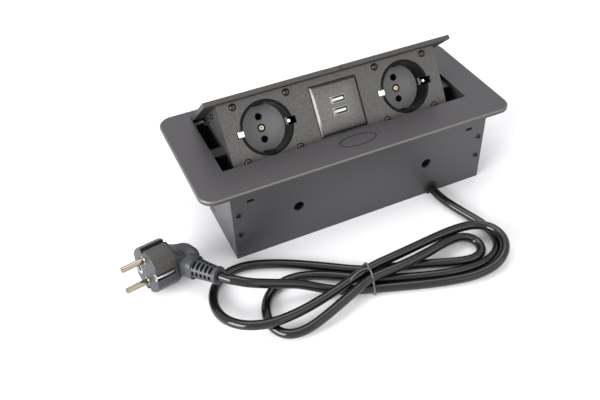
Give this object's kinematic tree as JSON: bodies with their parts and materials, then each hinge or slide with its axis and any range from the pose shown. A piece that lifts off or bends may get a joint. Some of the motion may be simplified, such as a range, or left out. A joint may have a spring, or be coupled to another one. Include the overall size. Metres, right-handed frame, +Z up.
{
  "type": "pop up desk socket",
  "caption": "Desk socket let into a worktop: a sprung lid tilts up with a slanted face of earthed sockets and USB ports, with a tied mains lead.",
  "frame": {"origin": "centre of the housing's underside, on the surface it stands on", "axes": "+X along the flange's long side, to the right of someone at the desk, +Y away from that person, +Z up"},
  "size_m": [0.344, 0.2221, 0.1135],
  "materials": {
    "dark_coated_steel": "satin",
    "anodised_flange": "satin",
    "anodised_face": "satin",
    "zinc_steel": "satin",
    "black_steel": "satin",
    "spring_steel": "satin",
    "gloss_black": "gloss",
    "black_plastic": "matte",
    "grey_plastic": "satin",
    "plug_plastic": "matte",
    "cord_pvc": "gloss",
    "nickel": "gloss",
    "brass": "satin",
    "tie_wire": "satin",
    "board_green": "satin",
    "brown_insulation": "satin",
    "blue_insulation": "satin",
    "earth_insulation": "satin"
  },
  "bodies": {
    "housing": {"housing_tray": "dark_coated_steel", "end_wall_left": "dark_coated_steel", "end_wall_right": "dark_coated_steel", "wall_screws": "black_steel", "flange_plate": "anodised_flange", "flange_screws": "zinc_steel", "hinge_bracket_left": "zinc_steel", "hinge_bracket_right": "zinc_steel", "bracket_screws": "zinc_steel", "hinge_pins": "zinc_steel", "hinge_rings": "black_steel", "spring_left": "spring_steel", "spring_right": "spring_steel", "catch_case": "black_plastic", "catch_magnets": "nickel", "catch_screws": "zinc_steel", "cable_grommet": "cord_pvc", "cord_clamp": "black_plastic", "clamp_screws": "zinc_steel", "inner_lead": "cord_pvc", "earth_stud": "zinc_steel", "earth_wire": "earth_insulation", "cord_lead": "cord_pvc", "cord_hank": "cord_pvc", "cord_tail": "cord_pvc", "twist_tie": "tie_wire", "plug_body": "plug_plastic", "plug_pins": "nickel", "plug_earth_clips": "brass", "strain_relief": "plug_plastic"},
    "module": {"lid_plate": "anodised_face", "face_plate": "anodised_face", "module_end_left": "dark_coated_steel", "module_end_right": "dark_coated_steel", "module_back": "dark_coated_steel", "face_screws": "black_steel", "module_screws": "black_steel", "socket_cup_left": "gloss_black", "socket_cup_right": "gloss_black", "socket_base_left": "black_plastic", "socket_base_right": "black_plastic", "contacts_left": "brass", "contacts_right": "brass", "earth_clip_left": "nickel", "earth_clip_right": "nickel", "centre_screws": "brass", "usb_cover": "grey_plastic", "usb_shells": "nickel", "usb_tongues": "black_plastic", "usb_board": "board_green", "usb_housing": "black_plastic", "wire_live": "brown_insulation", "wire_neutral": "blue_insulation", "wire_earth": "earth_insulation", "catch_keeper": "zinc_steel"}
  },
  "joints": [
    {"name": "module_tilt", "type": "hinge", "parent": "housing", "child": "module", "pos_m": [0, 0.048, 0.0647], "axis": [1, 0, 0], "range_deg": [0, 42.45], "stiffness_Nm_per_rad": 0.4, "springref_deg": -74.48, "deforming": ["spring_left", "spring_right", "inner_lead"]}
  ]
}
